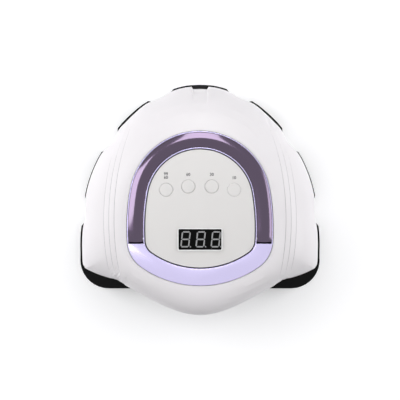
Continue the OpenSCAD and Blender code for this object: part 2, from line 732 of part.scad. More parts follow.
module window_plan(grow)
    offset(r = window_r + grow)
        square([display_w + 2 * display_fit - 2 * window_r, display_h + 2 * display_fit - 2 * window_r],
            center = true);
module control_panel() color(panel_white) ring_frame() {
    difference() {
        union() {
            intersection() {
                translate([0, 0, -panel_t])
                    linear_extrude(panel_t + panel_crown + cut)
                        panel_plan(panel_gap);
                difference() {
                    translate([0, -panel_mid, panel_crown - sphere_r])
                        sphere(r = sphere_r, $fn = panel_fn);
                    translate([0, -panel_mid, panel_crown - sphere_r])
                        sphere(r = sphere_r - panel_t, $fn = panel_fn);
                }
            }
            translate([0, 0, panel_skirt_gap - panel_seat])
                linear_extrude(panel_t)
                    difference() {
                        panel_plan(panel_gap);
                        panel_plan(panel_gap + panel_skirt_t);
                    }
            for (p = board_screw_points)
                translate([p[0], p[1], board_z])
                    cylinder(r = board_boss_r, h = -board_z);
            translate([0, -display_y, -panel_t])
                linear_extrude(panel_t + bezel_top)
                    window_plan(bezel_w);
        }
        for (p = button_points)
            translate([p[0], p[1], -2 * panel_t])
                cylinder(r = button_r + button_gap, h = 4 * panel_t);
        for (p = button_points)
            translate([p[0], p[1], crown_z(p[0], p[1]) - button_edge])
                cylinder(r1 = button_r + button_gap - dish_low,
                    r2 = button_r + button_gap - dish_low + button_edge + dish_high,
                    h = button_edge + dish_high);
        translate([0, -display_y, -2 * panel_t])
            linear_extrude(4 * panel_t)
                window_plan(0);
        for (p = board_screw_points)
            translate([p[0], p[1], board_z - cut])
                cylinder(r = board_screw_r + screw_gap, h = board_bore_l + cut);
    }
}

switch_h = 3.5;
nib_r = 1.1;
nib_in = 0.8;
button_flange_h = 0.8;
button_flange_w = 0.8;
button_edge = 0.5;
switch_w = 6;
nib_gap = 0.1;
// Overlap that joins the pieces of one solid
merge = 0.01;
module button(i) {
    p = button_points[i - 1];
    top = crown_z(p[0], p[1]);
    low = top - panel_t - button_flange_h / 2 - seam / 2;
    color(panel_white)
        ring_frame()
            translate([p[0], p[1], 0]) {
                translate([0, 0, low])
                    cylinder(r = button_r, h = top + merge - low);
                translate([0, 0, top])
                    cylinder(r1 = button_r, r2 = button_r - button_edge, h = button_edge);
                translate([0, 0, low - button_flange_h])
                    cylinder(r = button_r + button_flange_w, h = button_flange_h + merge);
                translate([0, 0, board_z + switch_h - nib_in])
                    cylinder(r = nib_r, h = top - board_z - switch_h);
            }
}

module display_module() color(black) ring_frame() {
    translate([0, -display_y, board_z])
        linear_extrude(face_z - board_z)
            window_plan(-display_fit);
}
face_z = 0.6;
segment_w = 1.25;
digit_w = 8.2;
digit_pitch = 13.7;
digit_shift = 0.6;
digit_slant = 6;
segment_t = 0.15;
segment_gap = 0.25;
module segment(l) {
    g = segment_gap;
    polygon([[g, 0], [segment_w / 2 + g, segment_w / 2], [l - segment_w / 2 - g, segment_w / 2], [l - g, 0],
        [l - segment_w / 2 - g, -segment_w / 2], [segment_w / 2 + g, -segment_w / 2]]);
}
module digit() {
    half = (digit_h - segment_w) / 2;
    across = digit_w - segment_w;
    for (y = [-half, 0, half])
        translate([-across / 2, y])
            segment(across);
    for (x = [-across / 2, across / 2])
        for (y = [-half, 0])
            translate([x, y])
                rotate(90)
                    segment(half);
}
module display_segments() color(silver) ring_frame() {
    for (k = [-1:1])
        translate([k * digit_pitch + digit_shift, -display_y, face_z])
            linear_extrude(segment_t) {
                multmatrix([[1, tan(digit_slant), 0, 0], [0, 1, 0, 0], [0, 0, 1, 0], [0, 0, 0, 1]])
                    digit();
                translate([digit_w / 2 + segment_w / 4, -digit_h / 2 + segment_w / 2])
                    circle(r = segment_w / 2);
            }
}

board_plan = [[-36, -50], [36, -50], [40, -20], [36, 22], [20, 31], [-20, 31], [-36, 22], [-40, -20]];
module control_board() color(board_green) ring_frame() {
    difference() {
        translate([0, 0, board_z - board_t])
            linear_extrude(board_t)
                polygon(board_plan);
        for (p = board_screw_points)
            translate([p[0], p[1], board_z - 2 * board_t])
                cylinder(r = board_screw_r + board_hole_gap, h = 3 * board_t);
    }
}
module board_screws() color(steel) ring_frame() {
    for (p = board_screw_points)
        translate([p[0], p[1], board_z - board_t]) {
            cylinder(r = board_screw_r, h = board_t + board_screw_l);
            translate([0, 0, -board_head_h])
                cylinder(r = 2 * board_screw_r, h = board_head_h);
        }
}
module tact_switches() color(black) ring_frame() {
    for (p = button_points)
        translate([p[0], p[1], board_z])
            difference() {
                translate([-switch_w / 2, -switch_w / 2, 0])
                    cube([switch_w, switch_w, switch_h]);
                translate([0, 0, switch_h - nib_in - button_travel - seam])
                    cylinder(r = nib_r + nib_gap, h = switch_h);
            }
}

// Lights on flat facets of the reflector: each entry is a place and the way the facet faces
top_led_ends = [15, 58];
top_led_from = top_led_ends[0] - chamber_front;
top_led_to = chamber_back - top_led_ends[1];
top_led_rows = 4;
top_led_pitch = 22;
top_led_points = [for (x = [-2:2]) for (k = [0:top_led_rows - 1])
    [x * top_led_pitch, top_led_from + (top_led_to - top_led_from) * k / (top_led_rows - 1)]];
led_margin = 9;
side_led_pitch = 20;
side_led_from = 12;
side_led_y = [for (k = [0:2]) side_led_from - chamber_shoulder + k * side_led_pitch];
back_led_x = [-8, 8];
back_led_z = chamber_foot / 2 + 4;
side_board_w = 16;
back_board = [28, 12];
side_tilt = atan2(side_lean, chamber_h - eaves - chamber_foot);
side_mid = [(chamber_w - side_lean) / 2, (chamber_foot + chamber_h - eaves) / 2];
facet_from = chamber_plan(0)[5];
facet_to = chamber_plan(0)[6];
facet_mid = (facet_from + facet_to) / 2;
facet_turn = atan2(facet_to[1] - facet_from[1], facet_from[0] - facet_to[0]);
back_facets = [[facet_mid[0], facet_mid[1], facet_turn], [-facet_mid[0], facet_mid[1], -facet_turn],
    [0, chamber_back, 0]];
hole_r = led_r + 0.3;
hole_depth = 5;
led_seat = 0.4;
led_dome = 2;
led_dome_r = led_r + 0.4;
led_lens_r = led_r - 0.3;
module on_side_facet() {
    for (s = [-1, 1])
        translate([s * side_mid[0], 0, side_mid[1]])
            rotate([0, s * (90 - side_tilt), 0])
                children();
}
module on_back_facet() {
    for (f = back_facets)
        translate([f[0], f[1], back_led_z])
            rotate([0, 0, -f[2]])
                rotate([-90, 0, 0])
                    children();
}
module reflector() color(silver) {
    difference() {
        chamber(foil, flange_z + flange_t);
        chamber(0, -cut);
        for (p = top_led_points)
            translate([p[0], p[1], chamber_h - hole_depth])
                cylinder(r = hole_r, h = 2 * hole_depth);
        on_side_facet()
            for (y = side_led_y)
                translate([0, y, -hole_depth])
                    cylinder(r = hole_r, h = 2 * hole_depth);
        on_back_facet()
            for (x = back_led_x)
                translate([x, 0, -hole_depth])
                    cylinder(r = hole_r, h = 2 * hole_depth);
        translate([-body_w, -body_d, 0])
            cube([2 * body_w, 2 * body_d, flange_z + flange_t]);
    }
}
module led() {
    translate([0, 0, led_seat - foil])
        cylinder(r = led_r, h = foil - led_seat);
    intersection() {
        translate([0, 0, led_dome - foil])
            sphere(r = led_dome_r);
        translate([0, 0, -foil - led_dome])
            cylinder(r = led_lens_r, h = foil + led_dome);
    }
}
module top_leds() color(lilac) {
    for (p = top_led_points)
        translate([p[0], p[1], chamber_h + foil])
            led();
}
module side_leds() color(lilac) {
    on_side_facet()
        for (y = side_led_y)
            translate([0, y, foil])
                led();
}
module back_leds() color(lilac) {
    on_back_facet()
        for (x = back_led_x)
            translate([x, 0, foil])
                led();
}
module top_led_board() color(board_green)
    translate([-2 * top_led_pitch - led_margin, top_led_from - led_margin, chamber_h + foil])
        cube([4 * top_led_pitch + 2 * led_margin, top_led_to - top_led_from + 2 * led_margin, board_t]);
module side_led_boards() color(board_green) on_side_facet()
    translate([-side_board_w / 2, side_led_y[0] - led_margin, foil])
        cube([side_board_w, side_led_y[2] - side_led_y[0] + 2 * led_margin, board_t]);
module back_led_boards() color(board_green) on_back_facet()
    translate([-back_board[0] / 2, -back_board[1] / 2, foil])
        cube([back_board[0], back_board[1], board_t]);

power_gap = 2;
power_y = chamber_back + foil + board_t + power_gap;
power_w = 44;
power_h = 24;
power_part_x = 16;
power_part_z = 24;
power_part_r = 4;
power_part_l = 5.4;
module power_board() color(board_green)
    translate([-power_w / 2, power_y, flange_z + flange_t])
        cube([power_w, board_t, power_h]);
module power_parts() color(steel) {
    for (x = [-power_part_x, power_part_x])
        translate([x, power_y + board_t, power_part_z])
            rotate([-90, 0, 0])
                cylinder(r = power_part_r, h = power_part_l);
}

jack_l = 13;
jack_w = 9;
jack_collar_r = 4;
jack_collar_l = 3;
jack_gap = 0.2;
jack_pin_r = 1;
jack_floor = [2, 3];
plug_r = 2.8;
module dc_jack() color(black) {
    difference() {
        union() {
            translate([0, body_d / 2 - jack_l, inlet_z])
                rotate([-90, 0, 0])
                    cylinder(r = jack_collar_r, h = jack_l);
            translate([-jack_w / 2, body_d / 2 - jack_l, inlet_z - jack_w / 2])
                cube([jack_w, jack_l - jack_collar_l, jack_w]);
        }
        translate([0, body_d / 2 - jack_l + jack_floor[1], inlet_z])
            rotate([-90, 0, 0])
                cylinder(r = plug_r, h = jack_l);
    }
    translate([0, body_d / 2 - jack_l + jack_floor[0], inlet_z])
        rotate([-90, 0, 0])
            cylinder(r = jack_pin_r, h = jack_l - jack_floor[1]);
}

screw_head_h = 1.6;
module shell_screws() color(steel) {
    at_bosses() {
        translate([0, 0, foot_h + head_h - screw_head_h])
            cylinder(r = head_r, h = screw_head_h);
        translate([0, 0, foot_h + head_h])
            cylinder(r = screw_r, h = screw_l);
    }
}
rubber_black = [0.12, 0.12, 0.12];
module rubber_feet() color(rubber_black) {
    at_feet()
        cylinder(r = foot_r - foot_gap, h = foot_t);
}
module magnets() color(steel) {
    at_magnets()
        translate([0, 0, flange_z])
            cylinder(r = magnet_r, h = magnet_t);
}
tray_rise = 0.2;
tray_z = foot_h + tray_rise;
disc_t = 0.6;
module bottom_tray() color(silver) {
    difference() {
        translate([0, 0, tray_z])
            linear_extrude(tray_t)
                polygon(tray_plan(0, tray_front));
        at_magnets()
            translate([0, 0, tray_z + tray_t - disc_t])
                cylinder(r = magnet_r + magnet_gap, h = 2 * disc_t);
    }
}
module tray_discs() color(steel) {
    at_magnets()
        translate([0, 0, tray_z + tray_t - disc_t])
            cylinder(r = magnet_r, h = disc_t);
}

top_shell();
base_frame();
opening_frame();
trim_ring();
carry_handle();
hinge_pins();
control_panel();
button(1);  // button_1
button(2);  // button_2
button(3);  // button_3
button(4);  // button_4
display_module();
display_segments();
control_board();
tact_switches();
board_screws();
reflector();
top_led_board();
side_led_boards();
back_led_boards();
top_leds();
side_leds();
back_leds();
motion_sensor();
power_board();
power_parts();
dc_jack();
shell_screws();
rubber_feet();
magnets();
tray_discs();
bottom_tray();
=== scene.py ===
"""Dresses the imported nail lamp: finishes, rounded edges, printed numbers, floor, light and camera."""

import json
import math

import bmesh
import bpy
from bpy.props import FloatProperty, FloatVectorProperty, IntProperty, PointerProperty, StringProperty
from mathutils import Matrix, Vector
from mathutils.bvhtree import BVHTree

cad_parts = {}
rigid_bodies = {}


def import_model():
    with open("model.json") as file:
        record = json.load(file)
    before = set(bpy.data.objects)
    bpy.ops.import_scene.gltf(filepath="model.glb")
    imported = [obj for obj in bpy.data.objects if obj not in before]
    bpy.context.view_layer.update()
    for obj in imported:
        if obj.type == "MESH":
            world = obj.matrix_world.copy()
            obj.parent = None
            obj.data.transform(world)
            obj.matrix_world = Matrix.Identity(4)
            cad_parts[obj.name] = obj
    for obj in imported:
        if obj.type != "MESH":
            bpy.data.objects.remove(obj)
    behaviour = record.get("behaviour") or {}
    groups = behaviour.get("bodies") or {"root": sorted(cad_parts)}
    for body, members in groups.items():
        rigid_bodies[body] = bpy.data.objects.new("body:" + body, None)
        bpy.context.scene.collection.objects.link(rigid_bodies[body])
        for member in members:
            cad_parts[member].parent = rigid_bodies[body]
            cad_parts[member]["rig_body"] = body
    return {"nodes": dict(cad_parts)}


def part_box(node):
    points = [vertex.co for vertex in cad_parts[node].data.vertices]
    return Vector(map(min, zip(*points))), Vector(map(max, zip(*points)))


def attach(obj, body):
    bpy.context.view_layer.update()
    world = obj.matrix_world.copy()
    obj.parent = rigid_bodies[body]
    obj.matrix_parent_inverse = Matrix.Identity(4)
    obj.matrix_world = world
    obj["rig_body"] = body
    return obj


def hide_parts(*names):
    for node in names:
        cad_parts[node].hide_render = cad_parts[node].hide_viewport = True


bl_info = {
    "name": "Nail Lamp Dresser",
    "version": (1, 0, 0),
    "blender": (4, 5, 0),
    "location": "View3D > Sidebar > Lamp",
    "description": "Gives the packed nail lamp its finishes, edges and numbers",
    "category": "Object",
}

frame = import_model()
NODES = frame["nodes"]
MM = 0.001
WHITE = (1, 1, 1, 1)

# Points closer than this are one point
WELD = 2e-6

# Faces that turn less than this from each other are one flat face
FLAT_TURN = math.radians(0.05)

# Edges sharper than this are rounded, on a piece that has a rounding
ROUND_TURN = math.radians(32)

# Edges sharper than this stay sharp in the shading
CREASE = math.radians(38)

# The ring and the panel lie in a plane at this height that tilts back round the line across its middle
PANEL_TILT = math.radians(6)
PANEL_HEIGHT = 93 * MM
TO_PANEL = Matrix.Rotation(-PANEL_TILT, 4, "X") @ Matrix.Translation((0, 0, -PANEL_HEIGHT))
PANEL_TURN = TO_PANEL.to_3x3()
PANEL_UP = Vector((0, -math.sin(PANEL_TILT), math.cos(PANEL_TILT)))
PANEL_BACK = Vector((0, math.cos(PANEL_TILT), math.sin(PANEL_TILT)))

# A face of the ring that lies deeper than this under that plane lies in a gap, where it takes the
# painted gap shade
RING_GAP_DEPTH = 0.4 * MM

# A face whose normal rises less than this from that plane stands upright on it
UPRIGHT_RISE = 0.3

# The display's window in that plane: its middle, and half its width and height with the rim round it
WINDOW_Y = -38.4 * MM
WINDOW_HALF = (20.5 * MM, 10.5 * MM)

# Only the rim round the display rises higher than this in the window
BEZEL_HEIGHT = 1.5 * MM

# The shoulder steps lie on circles round this point for the right side, and mirrored for the left
STEP_CENTRE = (-184 * MM, -22 * MM)
STEP_RADIUS = 262 * MM
STEP_PITCH = 5 * MM
STEP_COUNT = 3

# The first step runs between these two, and each further one starts and ends further in by the shifts
STEP_FRONT = -73 * MM
STEP_FRONT_SHIFT = 2.5 * MM
STEP_BACK = 68 * MM
STEP_BACK_SHIFT = 14 * MM

# A face of a step's wall lies this near its circle, and turns more than this from a neighbour
STEP_REACH = 0.35 * MM
STEP_TURN = math.radians(12)

# Pitch of two printed lines and height of a printed figure, as shares of the font's size
LINE_PITCH = 0.85
FIGURE_SHARE = 0.72

# How far a second line lifts a number, in heights of the print
LINE_LIFT = 0.7

# Steps of each curve in the print
CURVE_STEPS = 3

# The print drops on the panel from this height over it
PRINT_DROP = 20 * MM

# Widths of a track and of a pad, as distances in the cells of the board's pattern
TRACK_REACH = 0.06
PAD_REACH = 0.16

# The floor's reach from its middle to its edge, and the glow that makes it white where it is seen
FLOOR_REACH = 6
FLOOR_LIFT = 0.32

# Width in millimetres of the film that the camera's lens is for
FILM_WIDTH = 36

# The point that the lights face
LIGHT_TARGET = Vector((0, 0, 0.05))

# Each light's setting for its power, its size, its place and whether only the gloss shows it
LIGHTS = {
    "left light": ("left", (0.5, 0.7), (-0.7, 0.2, 0.55), False),
    "right light": ("right", (0.5, 0.7), (0.7, 0.2, 0.55), False),
    "back light": ("back", (0.7, 0.7), (-0.12, 0.55, 0.75), False),
    "back strip": ("strips", (0.56, 0.85), (0.02, 0.62, 1.2), True),
    "left strip": ("strips", (0.5, 0.8), (-0.78, 0.02, 0.88), True),
    "right strip": ("right_strip", (0.7, 0.5), (1.0, -0.1, 0.62), True),
}


def linear(red, green, blue):
    """A linear colour from 0 to 255 screen values."""

    def channel(value):
        value /= 255
        return value / 12.92 if value <= 0.04045 else ((value + 0.055) / 1.055) ** 2.4

    return channel(red), channel(green), channel(blue)


# What a user would change


def colour(name, description, red, green, blue):
    return FloatVectorProperty(
        name=name,
        description=description,
        subtype="COLOR",
        size=3,
        min=0,
        max=1,
        default=linear(red, green, blue),
    )


def length(name, description, metres, low, high):
    return FloatProperty(
        name=name,
        description=description,
        default=metres,
        min=low,
        max=high,
        unit="LENGTH",
        precision=5,
    )


def strength(name, description, value):
    return FloatProperty(name=name, description=description, default=value, min=0)


class LampColours(bpy.types.PropertyGroup):
    """Colours of the lamp's finishes"""

    shell: colour("Shell", "Gloss white of the top shell", 240, 237, 240)
    step: colour("Step", "Shade on the walls of the shoulder steps", 124, 120, 126)
    base: colour("Base", "Black of the base and the mouth", 10, 10, 11)
    ring: colour("Ring", "Lilac plating of the trim ring", 207, 200, 236)
    # Painted shade: the ring's faces deep in its gaps take this dark colour in place of the shadow there
    gap: colour("Gap", "Bare dark plastic in the gaps of the trim ring", 46, 36, 58)
    handle: colour("Handle", "Mauve mirror plating of the handle", 76, 61, 84)
    panel: colour("Panel", "Off-white of the panel and buttons", 231, 229, 228)
    panel_gap: colour("Panel gap", "Shade in the gaps round the panel and its buttons", 66, 60, 70)
    # Painted highlight: the rim round the display is part of the panel's moulding, and this whiter
    # colour stands in for the light on its raised edge
    bezel_highlight: colour("Bezel", "White of the rim round the display", 255, 255, 255)
    display: colour("Display", "Dark face of the display", 5, 5, 5)
    segments: colour("Segments", "Unlit segments of the display", 150, 150, 152)
    numbers: colour("Numbers", "Grey print on the panel", 74, 72, 76)
    reflector: colour("Reflector", "Metallized reflector", 225, 226, 230)
    tray: colour("Tray", "Silver coat of the bottom tray", 214, 214, 218)
    light_board: colour("Light board", "White lacquer of the light boards", 226, 228, 226)
    circuit_board: colour("Circuit board", "Green lacquer of the circuit boards", 34, 92, 58)
    copper: colour("Copper", "Tinned tracks and pads of the boards", 176, 160, 112)
    lens: colour("Lens", "Clear lens of the lights", 246, 240, 214)
    steel: colour("Steel", "Zinc-plated steel", 190, 190, 194)
    rubber: colour("Rubber", "Black rubber of the feet", 30, 30, 31)


class LampEdges(bpy.types.PropertyGroup):
    """Sizes of the rounded edges"""

    ring: length("Ring edge", "Rounding of the ring's edges", 0.25 * MM, 0, 0.5 * MM)
    button: length("Button edge", "Rounding of the buttons' edges", 0.6 * MM, 0, 1 * MM)
    small: length("Small edge", "Rounding of the small pieces' edges", 0.15 * MM, 0, 0.5 * MM)
    steps: IntProperty(
        name="Steps",
        description="Facets across a rounded edge of the ring and the buttons",
        default=3,
        min=1,
        max=6,
    )


class LampNumbers(bpy.types.PropertyGroup):
    """The plain numbers over the buttons"""

    seconds: StringProperty(
        name="Seconds",
        description="Number over each button from left to right, with a slash between two lines",
        default="99/60 60 30 10",
    )
    height: length("Height", "Height of the print", 2.7 * MM, 1 * MM, 4 * MM)
    gap: length("Gap", "From a button's middle up to its number's middle", 10.6 * MM, 8 * MM, 14 * MM)
    weight: length("Weight", "What each side of a stroke gains", 0.1 * MM, 0, 0.3 * MM)
    ink: length("Ink", "Thickness of the print", 0.03 * MM, 0.01 * MM, 0.1 * MM)


class LampStage(bpy.types.PropertyGroup):
    """Floor, light and camera"""

    camera_height: length("Camera height", "From the floor up to the camera", 0.96, 0.5, 3)
    camera_y: length("Camera place", "How far behind the lamp's middle it stands", -0.0026, -0.1, 0.1)
    lens: FloatProperty(
        name="Lens",
        description="Focal length of the camera in millimetres",
        default=86.4,
        min=20,
    )
    roll: FloatProperty(
        name="Roll",
        description="Turn of the camera about its own axis",
        default=0,
        subtype="ANGLE",
    )
    left: strength("Left light", "Power of the soft light at the left", 4.35)
    right: strength("Right light", "Power of the soft light at the right", 3.7)
    back: strength("Back light", "Power of the soft light at the back", 0.6)
    strips: strength("Strips", "Power of each square metre of the back and left strips", 17)
    right_strip: strength("Right strip", "Power of each square metre of the right strip", 12)
    sky: strength("Sky", "Strength of the pale surroundings", 0.38)
    floor: colour("Floor", "Pale floor", 238, 238, 240)


class LampSettings(bpy.types.PropertyGroup):
    """Everything that the panel lists"""

    colours: PointerProperty(type=LampColours)
    edges: PointerProperty(type=LampEdges)
    numbers: PointerProperty(type=LampNumbers)
    stage: PointerProperty(type=LampStage)


def settings():
    return bpy.context.scene.lamp


# Shader nodes


def feed(tree, socket, value):
    """Links an input to another node's output, or gives it a value."""
    if isinstance(value, bpy.types.NodeSocket):
        tree.links.new(value, socket)
    else:
        socket.default_value = value


def set_values(tree, made, **values):
    """Sets a node's own settings and feeds its named inputs."""
    for name, value in values.items():
        if hasattr(made, name):
            setattr(made, name, value)
        else:
            feed(tree, made.inputs[name.replace("_", " ")], value)


def node(tree, kind, *feeds, **values):
    """A new node, with its named values set and the feeds given to its inputs in order."""
    made = tree.nodes.new("ShaderNode" + kind)
    set_values(tree, made, **values)
    for socket, value in zip(made.inputs, feeds):
        feed(tree, socket, value)
    return made


def compute(tree, operation, *feeds, **values):
    """The output of a Math node."""
    return node(tree, "Math", *feeds, operation=operation, **values).outputs[0]


def new_group(name, inputs, outputs):
    """A node group, what it is given and what it puts out.

    Each input is (name, kind, default) and each output (name, kind).
    """
    group = bpy.data.node_groups.new(name, "ShaderNodeTree")
    for title, kind, value in inputs:
        socket = group.interface.new_socket(name=title, in_out="INPUT", socket_type="NodeSocket" + kind)
        socket.default_value = value
    for title, kind in outputs:
        group.interface.new_socket(name=title, in_out="OUTPUT", socket_type="NodeSocket" + kind)
    return group, group.nodes.new("NodeGroupInput").outputs, group.nodes.new("NodeGroupOutput").inputs


def moulded_surface():
    """Group: the faint flow marks, gloss changes and fine grain of a moulded or coated surface."""
    name = "moulded surface"
    if name in bpy.data.node_groups:
        return bpy.data.node_groups[name]
    group, given, result = new_group(
        name,
        [
            ("Color", "Color", (0.8, 0.8, 0.8, 1)),
            ("Shade", "Float", 0.03),
            ("Roughness", "Float", 0.3),
            ("Gloss Change", "Float", 0.05),
            ("Flow Scale", "Float", 20),
            ("Grain Scale", "Float", 900),
            ("Grain", "Float", 0.02),
        ],
        [("Color", "Color"), ("Roughness", "Float"), ("Normal", "Vector")],
    )
    place = node(group, "TexCoord").outputs["Object"]
    flow = node(group, "TexNoise", Vector=place, Scale=given["Flow Scale"], Detail=3.0)
    centred = compute(group, "SUBTRACT", flow.outputs["Fac"], 0.5)
    gloss = compute(
        group, "MULTIPLY_ADD", centred, given["Gloss Change"], given["Roughness"], use_clamp=True
    )
    value = compute(group, "MULTIPLY_ADD", centred, given["Shade"], 1)
    tint = node(group, "HueSaturation", Value=value, Color=given["Color"])
    grain = node(group, "TexNoise", Vector=place, Scale=given["Grain Scale"], Detail=2.0)
    bump = node(
        group, "Bump", Strength=given["Grain"], Distance=0.0002, Height=grain.outputs["Fac"]
    )
    feed(group, result["Color"], tint.outputs["Color"])
    feed(group, result["Roughness"], gloss)
    feed(group, result["Normal"], bump.outputs["Normal"])
    return group


def board_tracks():
    """Group: a mask of the tracks and pads under the lacquer of a circuit board."""
    name = "board tracks"
    if name in bpy.data.node_groups:
        return bpy.data.node_groups[name]
    group, given, result = new_group(
        name,
        [("Track Scale", "Float", 260), ("Pad Scale", "Float", 420)],
        [("Tracks", "Float"), ("Pads", "Float")],
    )
    place = node(group, "TexCoord").outputs["Object"]
    tracks = node(
        group,
        "TexVoronoi",
        distance="CHEBYCHEV",
        feature="DISTANCE_TO_EDGE",
        Vector=place,
        Scale=given["Track Scale"],
    )
    pads = node(group, "TexVoronoi", Vector=place, Scale=given["Pad Scale"], Randomness=0.6)
    for mask, cells, reach in (("Tracks", tracks, TRACK_REACH), ("Pads", pads, PAD_REACH)):
        feed(group, result[mask], compute(group, "LESS_THAN", cells.outputs["Distance"], reach))
    return group


# Materials


def surface_material(
    name, tint, rough=0.3, shade=0.03, gloss_change=0.05, flow=20, grain=0.02, **fixed
):
    """A material whose colour, gloss and grain come from the moulded surface group."""
    material = bpy.data.materials.new(name)
    material.use_nodes = True
    material.diffuse_color = (*tint, 1)
    tree = material.node_tree
    surface = node(
        tree,
        "Group",
        node_tree=moulded_surface(),
        Color=(*tint, 1),
        Shade=shade,
        Roughness=rough,
        Gloss_Change=gloss_change,
        Flow_Scale=flow,
        Grain=grain,
    )
    set_values(
        tree,
        tree.nodes["Principled BSDF"],
        Base_Color=surface.outputs["Color"],
        Roughness=surface.outputs["Roughness"],
        Normal=surface.outputs["Normal"],
        **fixed,
    )
    return material


def board_material(name, tint, metal, track_scale):
    """Lacquered circuit board with paler tracks and bare tinned pads."""
    material = surface_material(name, tint, rough=0.35, shade=0.08)
    tree = material.node_tree
    shader = tree.nodes["Principled BSDF"]
    lacquer = shader.inputs["Base Color"].links[0].from_socket
    masks = node(tree, "Group", node_tree=board_tracks(), Track_Scale=track_scale).outputs
    paler = node(
        tree, "HueSaturation", Value=1.35, Saturation=0.9, Color=lacquer, Fac=masks["Tracks"]
    )
    pads = node(
        tree, "MixRGB", Fac=masks["Pads"], Color1=paler.outputs["Color"], Color2=(*metal, 1)
    )
    set_values(tree, shader, Base_Color=pads.outputs["Color"], Metallic=masks["Pads"])
    return material


# Meshes


def welded(name):
    """A bmesh of a CAD node with its loose triangles joined and its flat faces whole."""
    mesh = bmesh.new()
    mesh.from_mesh(NODES[name].data)
    bmesh.ops.remove_doubles(mesh, verts=mesh.verts, dist=WELD)
    bmesh.ops.dissolve_degenerate(mesh, dist=WELD, edges=mesh.edges)
    bmesh.ops.dissolve_limit(mesh, angle_limit=FLAT_TURN, verts=mesh.verts, edges=mesh.edges)
    return mesh


def edge_angle(edge):
    """How far an edge's faces turn from each other. An open edge counts as sharp."""
    return edge.calc_face_angle(0) if len(edge.link_faces) == 2 else math.pi


def soften(mesh, crease):
    """Smooth shading that stops at the edges sharper than the crease angle."""
    for face in mesh.faces:
        face.smooth = True
    for edge in mesh.edges:
        edge.smooth = edge_angle(edge) < crease


def round_edges(mesh, size, steps):
    """Rounds the sharp edges that lie between two faces."""
    sharp = [edge for edge in mesh.edges if len(edge.link_faces) == 2 and edge_angle(edge) > ROUND_TURN]
    if sharp and size > 0:
        bmesh.ops.bevel(
            mesh,
            geom=sharp,
            offset=size,
            offset_type="OFFSET",
            segments=steps,
            profile=0.5,
            affect="EDGES",
            clamp_overlap=True,
            material=-1,
        )


def add_object(name, mesh, materials):
    """Makes an object of a bmesh, which is freed."""
    data = bpy.data.meshes.new(name)
    mesh.to_mesh(data)
    mesh.free()
    for material in materials:
        data.materials.append(material)
    made = bpy.data.objects.new(name, data)
    bpy.context.scene.collection.objects.link(made)
    return made


def add_piece(name, mesh, materials, body):
    """Makes a piece of the lamp, which then moves with its body."""
    made = add_object(name, mesh, materials)
    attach(made, body)
    return made


def dress(name, material, size=0.0, steps=2, crease=CREASE, accents=()):
    """A smooth copy of a CAD node with rounded edges, which stands for the node.

    Each accent is a further material and a test of a face that tells where it goes.
    """
    mesh = welded(name)
    materials = [material]
    for index, (accent, test) in enumerate(accents, 1):
        materials.append(accent)
        for face in mesh.faces:
            if test(face):
                face.material_index = index
    round_edges(mesh, size, steps)
    soften(mesh, crease)
    made = add_piece("dressed_" + name, mesh, materials, NODES[name]["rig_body"])
    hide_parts(name)


def in_ring_gap(face):
    """Tells whether a face of the ring lies below its edge, in a gap."""
    return (TO_PANEL @ face.calc_center_median()).z < -RING_GAP_DEPTH


def on_side(face):
    """Tells whether a face stands upright on the panel's plane, as the sides of its gaps do."""
    return abs((PANEL_TURN @ face.normal).z) < UPRIGHT_RISE


def on_bezel(face):
    """Tells whether a face of the panel belongs to the rim round the display."""
    place = TO_PANEL @ face.calc_center_median()
    inside = abs(place.x) < WINDOW_HALF[0] and abs(place.y - WINDOW_Y) < WINDOW_HALF[1]
    return inside and place.z > BEZEL_HEIGHT


def on_step(face):
    """Tells whether a face of the shell is the low wall of a shoulder step."""
    place = face.calc_center_median()
    away = math.hypot(abs(place.x) - STEP_CENTRE[0], place.y - STEP_CENTRE[1]) - STEP_RADIUS
    step = min(max(round(away / STEP_PITCH), 0), STEP_COUNT - 1)
    near = abs(away - step * STEP_PITCH) < STEP_REACH and face.normal.z > 0
    along = STEP_FRONT + step * STEP_FRONT_SHIFT < place.y < STEP_BACK - step * STEP_BACK_SHIFT
    return near and along and any(edge_angle(edge) > STEP_TURN for edge in face.edges)


def print_mesh(name, text, numbers, middle):
    """A bmesh of a number that lies flat in the panel's plane round its middle."""
    curve = bpy.data.curves.new(name, "FONT")
    curve.body = text.replace("/", "\n")
    curve.space_line = LINE_PITCH
    curve.size = numbers.height / FIGURE_SHARE
    curve.align_x = "CENTER"
    curve.align_y = "CENTER"
    curve.extrude = numbers.ink
    curve.offset = numbers.weight
    curve.resolution_u = CURVE_STEPS
    flat = bpy.data.objects.new(name, curve)
    data = bpy.data.meshes.new_from_object(flat)
    bpy.data.objects.remove(flat)
    data.transform(Matrix.Translation(middle) @ Matrix.Rotation(PANEL_TILT, 4, "X"))
    mesh = bmesh.new()
    mesh.from_mesh(data)
    bmesh.ops.remove_doubles(mesh, verts=mesh.verts, dist=WELD)
    return mesh


def lay_on(surface, mesh, middle):
    """Drops a flat bmesh on the crowned panel and keeps its thickness."""
    for vertex in mesh.verts:
        lift = (vertex.co - middle).dot(PANEL_UP)
        hit = surface.ray_cast(vertex.co + PANEL_UP * PRINT_DROP, -PANEL_UP)[0]
        if hit is None:
            raise RuntimeError("a number doesn't lie on the panel")
        vertex.co = hit + PANEL_UP * lift


# Operators: the lamp's pieces


class LAMP_OT_shell(bpy.types.Operator):
    """Gives the top shell its gloss white finish"""

    bl_idname = "lamp.shell"
    bl_label = "Dress Shell"

    def execute(self, context):
        colours = settings().colours
        white = surface_material(
            "shell gloss white",
            colours.shell,
            rough=0.3,
            shade=0.015,
            gloss_change=0.06,
            grain=0.006,
            Specular_IOR_Level=0.15,
        )
        shade = surface_material("shell step shade", colours.step, rough=0.45, shade=0.02, grain=0.01)
        dress("top_shell", white, crease=math.radians(15), accents=((shade, on_step),))
        return {"FINISHED"}


